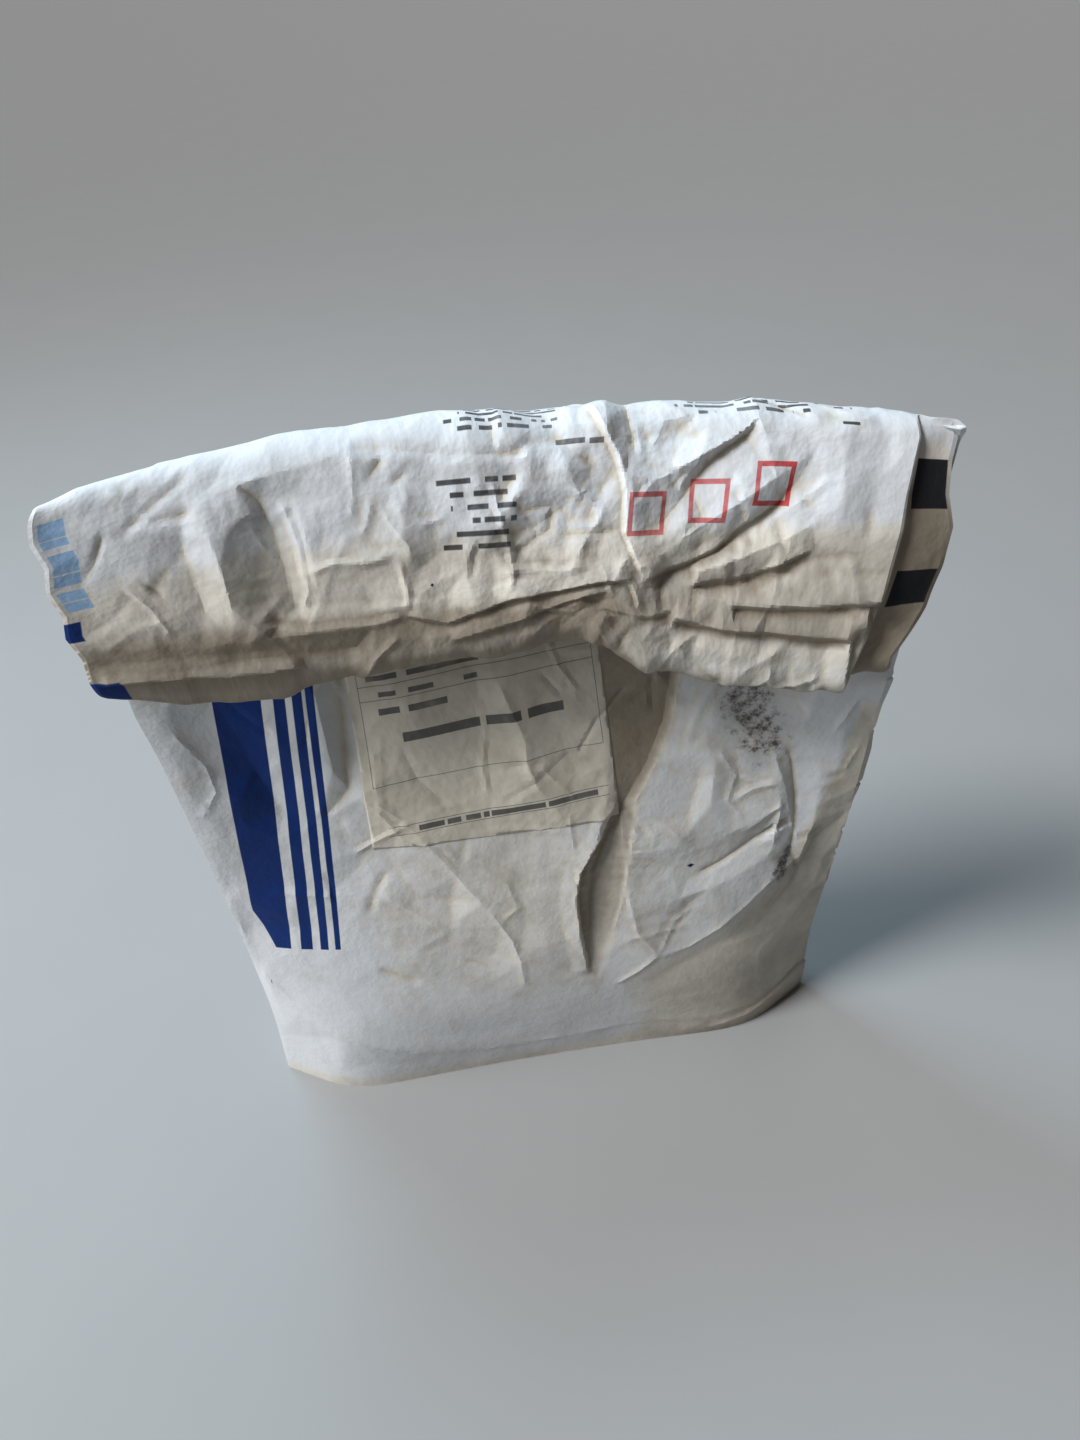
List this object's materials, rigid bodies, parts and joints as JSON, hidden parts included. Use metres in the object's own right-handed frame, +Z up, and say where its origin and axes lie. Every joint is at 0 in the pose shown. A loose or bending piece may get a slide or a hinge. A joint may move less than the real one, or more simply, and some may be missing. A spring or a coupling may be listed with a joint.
{
  "type": "paper cement bag",
  "caption": "Part-used paper sack of dry cement mix, standing on its flat bottom with its empty top rolled down over the front and a plain stuck-on label.",
  "frame": {"origin": "on the floor, under the middle of the sack's flat bottom", "axes": "+X along the sack's width, towards the viewer's right; -Y is the front, where the top is folded over; +Z up"},
  "size_m": [0.4358, 0.1178, 0.4635],
  "materials": {
    "sack_paper": "matt bleached kraft paper, creased and dusty",
    "cement_powder": "loose dry powder",
    "label_paper": "matt cream paper, creased with the sack under it"
  },
  "bodies": {
    "root": {"paper_sack": "sack_paper", "dry_mix": "cement_powder", "paper_label": "label_paper"}
  },
  "joints": []
}
